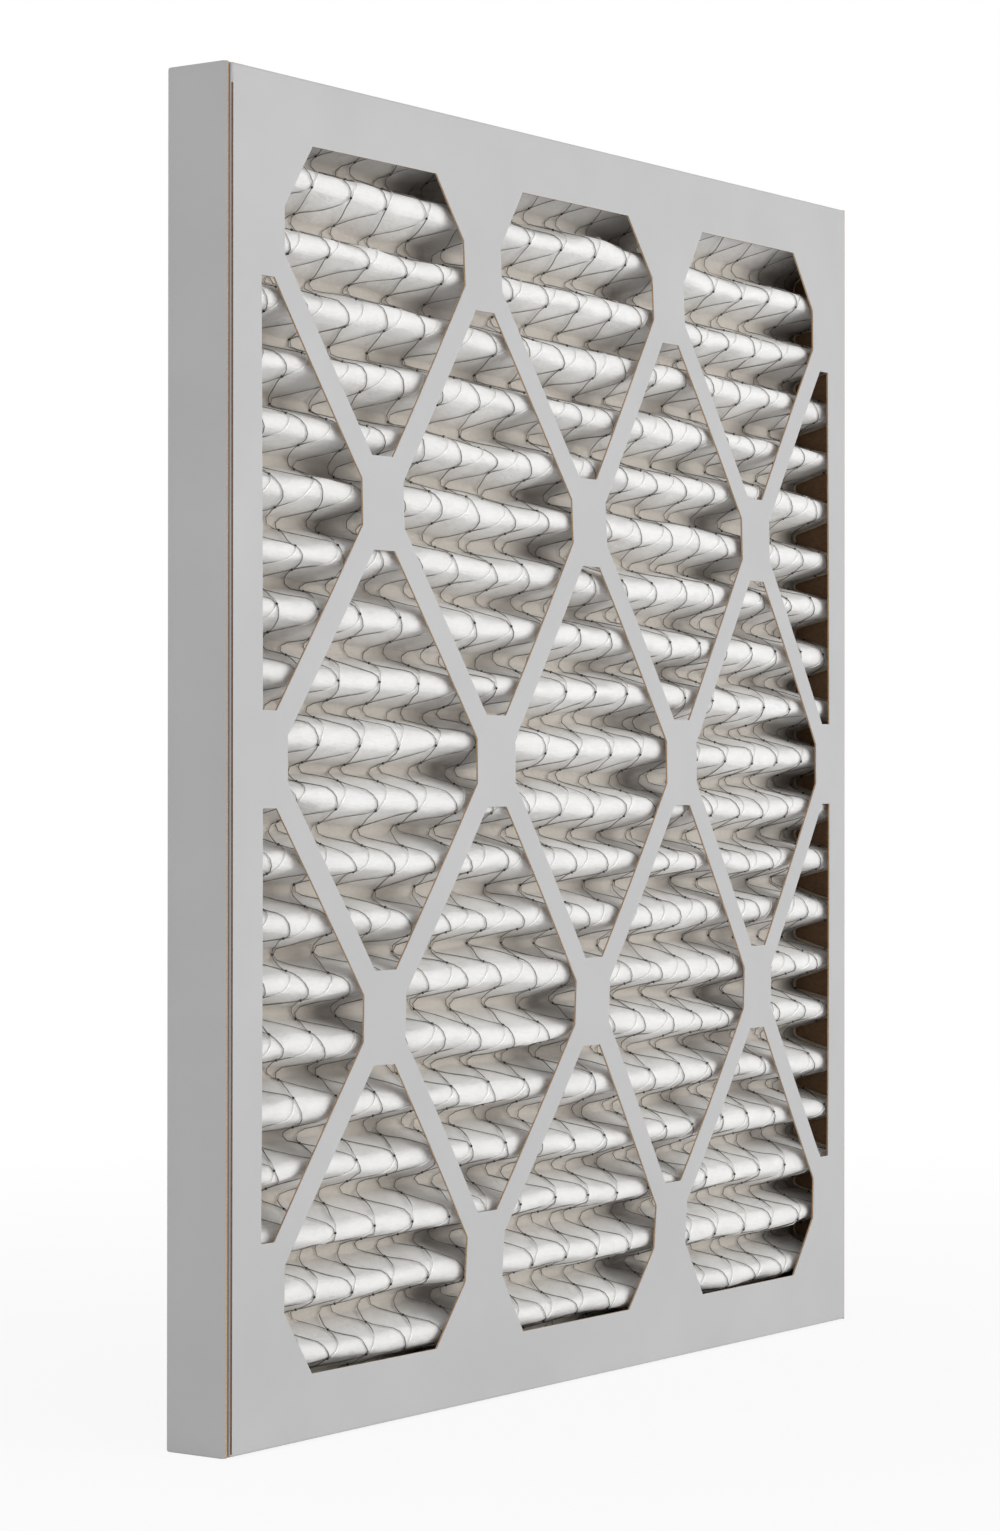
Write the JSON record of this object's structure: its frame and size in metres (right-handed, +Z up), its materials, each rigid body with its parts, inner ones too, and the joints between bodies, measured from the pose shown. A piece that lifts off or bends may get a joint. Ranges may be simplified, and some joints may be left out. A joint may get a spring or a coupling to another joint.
{
  "type": "pleated panel air filter",
  "caption": "Flat card-framed air filter with a die-cut lattice face over wire-backed pleated media; slides into a duct or return-grille slot.",
  "frame": {"origin": "middle of the underside: centred across the width and in the overall depth, at the bottom edge's outer face", "axes": "+X across the face, -Y out of the air-leaving face, +Z up along the height"},
  "size_m": [0.343, 0.0312, 0.3937],
  "materials": {
    "frame_board": "clay-coated, satin",
    "media": "soft nonwoven, matt",
    "wire": "galvanised, dull",
    "glue": "dried white glue"
  },
  "bodies": {
    "root": {"rear_tray": "frame_board", "front_tray": "frame_board", "pleated_media": "media", "wire_backing": "wire", "side_bead_left": "glue", "side_bead_right": "glue", "end_bead_bottom": "glue", "end_bead_top": "glue"}
  },
  "joints": []
}
